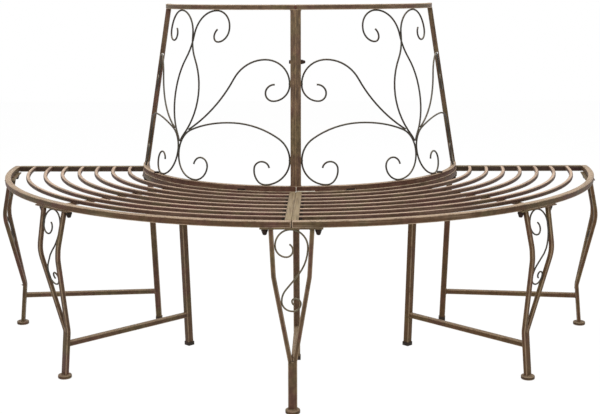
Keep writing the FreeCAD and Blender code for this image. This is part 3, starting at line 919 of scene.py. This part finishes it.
def squareWeld(radius):
    # a soft bead round the square tube, where it meets a leg
    side = stretcher["tube"] / 2
    power = stretcher["weldPower"]
    corners = [(-1, -1), (1, -1), (1, 1), (-1, 1)]
    path = []
    for i, (x, z) in enumerate(corners):
        nextX, nextZ = corners[(i + 1) % 4]
        for step in range(stretcher["weldSteps"]):
            share = step / stretcher["weldSteps"]
            pointX = x + share * (nextX - x)
            pointZ = z + share * (nextZ - z)
            # the corners of the bead are drawn in a little
            size = side / (abs(pointX) ** power + abs(pointZ) ** power) ** (1 / power) * mm
            path.append(at(radius * mm, 90, stretcher["height"] * mm)
                        + Vector((pointX * size, 0, pointZ * size)))
    return rodAlong(path, 2 * stretcher["weld"] * mm, "weld", closed=True)


def stretcherBar():
    outer = onLine(stretcher["height"], 0, leg["ankleHeight"], leg["footRadius"],
                   leg["ankleRadius"]) - leg["bar"] / 2
    inner = onLine(stretcher["height"], 0, seat["height"], stretcher["innerFoot"],
                   seat["innerTop"]) + leg["inner"] / 2
    length = outer - inner + stretcher["overlap"]
    middle = at((outer + inner) / 2 * mm, 90, stretcher["height"] * mm)
    bpy.ops.mesh.primitive_cube_add(
        size=1, location=middle,
        scale=(stretcher["tube"] * mm, length * mm, stretcher["tube"] * mm))
    bar = newPiece()
    roundEdges(bar, stretcher["corner"] * mm, 4)
    return joined([bar, squareWeld(outer), squareWeld(inner)])


frontStretcher = stretcherBar()
for place, azimuth in legAzimuths.items():
    node = "stretcher_" + place
    finishPiece(copyOf(frontStretcher, turnedTo(azimuth)), pieceName(node), legPaints[place],
                [node])
bpy.data.objects.remove(frontStretcher)
print("stretchers ready")


# studs, cap nuts and bolts

# a ring of the cap is its depth under the cap's start and its radius
nutShape = {"flats": 13.0, "hexHeight": 6.5, "edge": 0.6, "capRadius": 6.2, "capSunk": 0.4,
            "capSides": 24,
            "capRings": [(2.5, 5.9), (5.0, 5.1), (7.0, 4.3), (8.0, 3.3), (8.5, 1.8)],
            "legSpread": 57.5, "innerSpread": 20.0}


def capNut():
    high = nutShape["hexHeight"]
    bpy.ops.mesh.primitive_cylinder_add(
        vertices=6, radius=nutShape["flats"] / math.sqrt(3) * mm, depth=high * mm,
        location=(0, 0, -high / 2 * mm), rotation=(0, 0, math.pi / 6))
    nut = newPiece()
    roundEdges(nut, nutShape["edge"] * mm, 2)
    width = nutShape["capRadius"]
    bpy.ops.mesh.primitive_circle_add(
        vertices=nutShape["capSides"], radius=width * mm, fill_type="NGON",
        location=(0, 0, -(high - nutShape["capSunk"]) * mm))
    cap = newPiece()
    openMesh(cap)
    selectAll()
    depth = 0.0
    for drop, radius in nutShape["capRings"]:
        bpy.ops.mesh.extrude_region_move(
            TRANSFORM_OT_translate={"value": (0, 0, -(drop - depth) * mm)})
        bpy.ops.transform.resize(value=(radius / width, radius / width, 1))
        width = radius
        depth = drop
    closeMesh()
    faceOutwards(cap)
    return joined([nut, cap])


down = Vector((0, 0, -1))


def placed(obj, place, way=down, share=1.0):
    turn = down.rotation_difference(way).to_matrix().to_4x4()
    return copyOf(obj, Matrix.Translation(place) @ turn @ Matrix.Scale(share, 4))


seamBolt = {"head": 10.0, "headHeight": 3.6, "shank": 6.0, "thread": 6.0, "nutShare": 0.75}
boltMiddle = at(backRadius(back["boltHeight"]) * mm, 90, back["boltHeight"] * mm)
seamSide = Vector((back["tube"] * mm, 0, 0))
nut = capNut()
nuts = []
for azimuth in legAzimuths.values():
    for side in (-1, 1):
        for spread, radius in ((nutShape["legSpread"], leg["studRadius"]),
                               (nutShape["innerSpread"], innerRim)):
            place = at(radius * mm, 90, plateLow * mm) + Vector((side * spread * mm, 0, 0))
            nuts.append(placed(nut, turnedTo(azimuth) @ place))
nuts.append(placed(nut, boltMiddle + seamSide, Vector((1, 0, 0)), seamBolt["nutShare"]))
bpy.data.objects.remove(nut)
finishPiece(joined(nuts), "capNuts", nutPaint, ["cap_nuts"])
print("cap nuts ready")

# the edges of a head are rounded by a share of its height
boltShape = {"edgeShare": 0.22, "sunk": 0.5, "tip": 0.4, "sides": 16}


def hexBolt(headWidth, headHeight, shank, length):
    # head up, its seat at z = 0
    bpy.ops.mesh.primitive_cylinder_add(vertices=6, radius=headWidth / 2 * mm,
                                        depth=headHeight * mm,
                                        location=(0, 0, headHeight / 2 * mm))
    head = newPiece()
    openMesh(head)
    selectAll()
    bpy.ops.mesh.bevel(offset=headHeight * boltShape["edgeShare"] * mm, segments=2)
    closeMesh()
    bpy.ops.mesh.primitive_cylinder_add(
        vertices=boltShape["sides"], radius=shank / 2 * mm, depth=length * mm,
        location=(0, 0, (boltShape["sunk"] - length / 2) * mm))
    stem = newPiece()
    roundEdges(stem, boltShape["tip"] * mm, 1)
    return joined([head, stem])


holdDown = {"azimuth": 30.0, "head": 16.0, "headHeight": 3.5, "shank": 6.0, "thread": 8.0,
            "nut": 11.5, "nutHeight": 5.0, "nutEdge": 0.5}
bolt = hexBolt(holdDown["head"], holdDown["headHeight"], holdDown["shank"],
               back["tube"] + seat["tube"] + holdDown["thread"])
boltPlace = Matrix.Translation(at(innerRim * mm, holdDown["azimuth"], footRailTop * mm))
rightBolt = copyOf(bolt, boltPlace)
bpy.data.objects.remove(bolt)
finishPiece(joined([rightBolt, mirroredCopy(rightBolt)]), "holdDownBolts", nutPaint,
            ["hold_down_bolts"])

nutMiddle = seat["height"] - seat["tube"] - holdDown["nutHeight"] / 2
bpy.ops.mesh.primitive_cylinder_add(
    vertices=6, radius=holdDown["nut"] / 2 * mm, depth=holdDown["nutHeight"] * mm,
    location=at(innerRim * mm, holdDown["azimuth"], nutMiddle * mm))
lowNut = newPiece()
roundEdges(lowNut, holdDown["nutEdge"] * mm, 2)
finishPiece(joined([lowNut, mirroredCopy(lowNut)]), "holdDownNuts", nutPaint,
            ["hold_down_nuts"])

bolt = hexBolt(seamBolt["head"], seamBolt["headHeight"], seamBolt["shank"],
               2 * back["tube"] + seamBolt["thread"])
turn = Matrix.Rotation(-math.pi / 2, 4, "Y")
finishPiece(copyOf(bolt, Matrix.Translation(boltMiddle - seamSide) @ turn), "seamBolt",
            nutPaint, ["back_seam_bolt"])
bpy.data.objects.remove(bolt)

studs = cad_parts["rim_studs"].data
studs.materials.clear()
studs.materials.append(nutPaint)
print("bolts ready")


# small marks: painted shade in the drain slots and where the front leg's bars meet, a painted
# highlight on an edge at the seam, and weld beads of the frame

drain = {"azimuth": 72.0, "length": 22.4, "height": 4.4, "thick": 1.0, "behind": 0.35,
         "corner": 0.4}
barsMeetShade = {"size": (17.0, 1.6, 2.4), "above": 3.0}
frontFace = back["footRadius"] + back["tube"] / 2
ankleFace = leg["ankleRadius"] + leg["bar"] / 2


def drainShade():
    # painted shade: a dark piece behind the drain slot, seen through it as the shaded inside
    # of the tube
    middle = seat["height"] + drain["height"] / 2
    bpy.ops.mesh.primitive_cube_add(
        size=1, location=at((frontFace - drain["behind"]) * mm, 90, middle * mm),
        scale=(drain["length"] * mm, drain["thick"] * mm, drain["height"] * mm))
    inside = newPiece()
    roundEdges(inside, drain["corner"] * mm, 2)
    return inside


inside = drainShade()
paintedShadeMarks = [copyOf(inside, turnedTo(azimuth))
             for azimuth in (drain["azimuth"], 180 - drain["azimuth"])]
bpy.data.objects.remove(inside)
# painted shade: a dark line in the crease where the two bars of the front leg meet
meeting = at(ankleFace * mm, 90, (leg["ankleHeight"] + barsMeetShade["above"]) * mm)
paintedShadeMarks.append(weldBead(meeting, barsMeetShade["size"]))
finishPiece(joined(paintedShadeMarks), "paintedShadeMarks", shadePaint)

# painted highlight: a pale strip along the right foot rail's end and its lower front edge at
# the seam, for the glint of light there, where the edge is partly bare too
seamGlint = {"width": 2.0, "azimuth": 89.86, "ahead": 0.1, "above": 1.0, "sunk": 0.3,
            "rise": 11.0, "length": 46.0, "steps": 8}
edgeRadius = (frontFace + seamGlint["ahead"]) * mm
corner = seat["height"] + seamGlint["above"]
path = [at(edgeRadius, seamGlint["azimuth"], (corner + seamGlint["rise"]) * mm)]
for step in range(seamGlint["steps"] + 1):
    around = step / seamGlint["steps"] * math.degrees(seamGlint["length"] / frontFace)
    path.append(at(edgeRadius, seamGlint["azimuth"] - around,
                   (corner - seamGlint["sunk"]) * mm))
finishPiece(rodAlong(path, seamGlint["width"] * mm, "seamGlint"), "seamGlint", glintPaint)

# at the ankle a bead has its height over the ankle before its size
frameBeads = {"rail": (10.0, 3.0, 3.4), "railInset": 2.4, "railOverlap": 0.3, "railOff": 1.0,
              "ankle": ((12, (3.4, 2, 16)), (-30, (2.4, 1.6, 20))), "ankleSunk": 0.6,
              "legTop": (3.2, 9.0, 3.2), "legTopLow": 0.6, "legTopIn": 0.3,
              "innerTop": (13.0, 3.2, 3.0), "innerTopLow": 0.8, "innerReach": 8.0}


def railBeads():
    # at both ends of the foot rail and the top rail, on the right half
    found = []
    size = frameBeads["rail"]
    for radius, height in ((back["footRadius"], footRailTop + frameBeads["railOff"]),
                           (back["topRadius"], topRailLow - frameBeads["railOff"])):
        for inset in (frameBeads["railInset"], back["tube"] - frameBeads["railOverlap"]):
            side = math.sqrt(radius ** 2 - inset ** 2)
            for x, y, turned in ((side, inset, size), (inset, side, sideways(size))):
                found.append(weldBead(Vector((x * mm, treeY - y * mm, height * mm)), turned))
    return found


def legBeads(azimuth):
    # each spot is aside, radius, height and size, as seen at the front
    spots = [(0, ankleFace - frameBeads["ankleSunk"], leg["ankleHeight"] + above, size)
             for above, size in frameBeads["ankle"]]
    spread = leg["topSpread"] - leg["bar"] / 2 - frameBeads["legTopIn"]
    spots += [(side * spread, leg["topRadius"], plateLow - frameBeads["legTopLow"],
               frameBeads["legTop"]) for side in (-1, 1)]
    size = frameBeads["innerTop"]
    reach = frameBeads["innerReach"]
    for aside, ahead in ((0, reach), (0, -reach), (reach, 0), (-reach, 0)):
        spots.append((aside, seat["innerTop"] + ahead, plateLow - frameBeads["innerTopLow"],
                      size if ahead else sideways(size)))
    turn = turnedTo(azimuth)
    return [weldBead(turn @ (at(radius * mm, 90, height * mm) + Vector((aside * mm, 0, 0))),
                     size, azimuth)
            for aside, radius, height, size in spots]


beads = railBeads()
beads += [mirroredCopy(bead) for bead in beads]
for azimuth in legAzimuths.values():
    beads += legBeads(azimuth)
finishPiece(joined(beads), "frameWelds", framePaint)

seamBead = {"size": (6.0, 1.8, 10.6), "sunk": 0.2, "low": 0.4}
topFront = back["topRadius"] + back["tube"] / 2 - seamBead["sunk"]
topMiddle = back["height"] - back["tube"] / 2 - seamBead["low"]
finishPiece(weldBead(at(topFront * mm, 90, topMiddle * mm), seamBead["size"]), "seamWeld",
            seamWeldPaint)
bpy.data.objects.remove(weldLump)
print("small marks ready")


# the floor, the light and the camera, with places and sizes in metres

studio = {"floor": 14.0, "floorColor": (0.93, 0.93, 0.93), "floorGlow": 0.88, "glow": 1.07,
          "world": 0.42, "aim": (0, 0, 0.4)}
lamps = {"keyLamp": {"place": (-0.9, -3.0, 2.6), "size": 1.6, "power": 29.0},
         "fillLamp": {"place": (1.4, -3.1, 1.5), "size": 2.0, "power": 7.0},
         "topLamp": {"place": (0.2, 0.4, 3.2), "size": 2.4, "power": 42.0}}


def seenAsBackground(tree):
    # 1 for the rays that should see plain white, and 0 for those that light the bench
    path = addNode(tree, "ShaderNodeLightPath")
    seen = path.outputs["Is Camera Ray"]
    for kind in ("Is Glossy Ray", "Is Transmission Ray"):
        seen = calculate(tree, "MAXIMUM", seen, path.outputs[kind])
    return seen


def makeFloor():
    bpy.ops.mesh.primitive_plane_add(size=studio["floor"], location=(0, 0, 0))
    floor = bpy.context.object
    floor.name = "studioFloor"
    material = bpy.data.materials.new("studioFloor")
    material.use_nodes = True
    tree = material.node_tree
    tree.nodes.clear()
    out = addNode(tree, "ShaderNodeOutputMaterial")
    diffuse = addNode(tree, "ShaderNodeBsdfDiffuse")
    diffuse.inputs["Color"].default_value = (*studio["floorColor"], 1)
    glow = addNode(tree, "ShaderNodeEmission")
    glow.inputs["Color"].default_value = (1, 1, 1, 1)
    glow.inputs["Strength"].default_value = studio["glow"]
    mixer = addNode(tree, "ShaderNodeMixShader")
    share = calculate(tree, "MULTIPLY", seenAsBackground(tree), studio["floorGlow"])
    for source, socket in zip((share, diffuse.outputs[0], glow.outputs[0]), mixer.inputs):
        tree.links.new(source, socket)
    tree.links.new(mixer.outputs[0], out.inputs["Surface"])
    floor.data.materials.append(material)


def makeWorld():
    world = bpy.data.worlds.new("studio")
    world.use_nodes = True
    bpy.context.scene.world = world
    tree = world.node_tree
    tree.nodes.clear()
    out = addNode(tree, "ShaderNodeOutputWorld")
    sky = addNode(tree, "ShaderNodeBackground")
    strength = ramp(tree, seenAsBackground(tree), 0.0, 1.0, studio["world"], 1.0)
    feed(tree, (1, 1, 1, 1), sky.inputs["Color"])
    feed(tree, strength, sky.inputs["Strength"])
    tree.links.new(sky.outputs[0], out.inputs["Surface"])


makeFloor()
makeWorld()
for name, values in lamps.items():
    light = bpy.data.lights.new(name, "AREA")
    light.shape = "DISK"
    light.size = values["size"]
    light.energy = values["power"]
    lamp = addObject(name, light)
    lamp.location = values["place"]
    toAim = Vector(studio["aim"]) - Vector(values["place"])
    lamp.rotation_euler = toAim.to_track_quat("-Z", "Y").to_euler()

# focal length, middle, width and height in pixels, the place in millimetres from the foot of
# the tree's axis, the turns in radians, and how far the camera sees in metres
view = {"focal": 1148.08, "middleX": 305.39, "middleY": 211.22, "width": 600, "height": 414,
        "place": (74.27, -3181.93, 910.19), "yaw": -0.0186, "pitch": 0.1885, "roll": -0.0042,
        "sensor": 36, "far": 100}


def makeCamera():
    camera = bpy.data.cameras.new("photoCamera")
    camera.sensor_fit = "HORIZONTAL"
    camera.sensor_width = view["sensor"]
    camera.lens = view["sensor"] * view["focal"] / view["width"]
    camera.shift_x = (view["width"] / 2 - view["middleX"]) / view["width"]
    camera.shift_y = (view["middleY"] - view["height"] / 2) / view["width"]
    camera.clip_end = view["far"]
    obj = addObject("photoCamera", camera)
    yaw, pitch, roll = view["yaw"], view["pitch"], view["roll"]
    ahead = Vector((math.sin(yaw) * math.cos(pitch), math.cos(yaw) * math.cos(pitch),
                    -math.sin(pitch)))
    right = Vector((math.cos(yaw), -math.sin(yaw), 0))
    up = right.cross(ahead)
    tiltedRight = right * math.cos(roll) + up * math.sin(roll)
    tiltedUp = up * math.cos(roll) - right * math.sin(roll)
    place = Vector(view["place"]) * mm + Vector((0, treeY, 0))
    turn = Matrix((tiltedRight, tiltedUp, -ahead)).transposed().to_4x4()
    obj.matrix_world = Matrix.Translation(place) @ turn
    bpy.context.scene.camera = obj


makeCamera()
bpy.context.scene.view_settings.view_transform = "Standard"
print("studio ready")

deselectAll()
